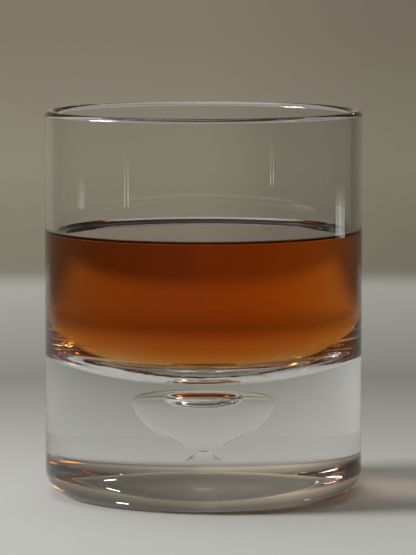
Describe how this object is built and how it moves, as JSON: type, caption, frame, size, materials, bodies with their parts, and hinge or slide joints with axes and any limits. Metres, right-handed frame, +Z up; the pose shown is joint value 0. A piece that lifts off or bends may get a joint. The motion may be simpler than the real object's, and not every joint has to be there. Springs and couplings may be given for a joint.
{
  "type": "whiskey tumbler",
  "caption": "Straight clear glass tumbler holding amber whiskey. Its thick base has a sealed, liquid-filled pocket shaped like a cocktail glass, with one air bubble and a plug.",
  "frame": {"origin": "centre of the foot, where the axis of the glass meets the table", "axes": "+Z up along the axis of the glass; the glass is round, so +X and +Y are any two level directions"},
  "size_m": [0.085, 0.085, 0.103],
  "materials": {
    "clear_glass": "fire-polished, clear",
    "clear_liquid": "clear liquid like a light oil",
    "whiskey": "clear amber liquid"
  },
  "bodies": {
    "root": {"tumbler_glass": "clear_glass", "pocket_fluid": "clear_liquid", "neck_plug": "clear_glass", "whiskey": "whiskey"}
  },
  "joints": []
}
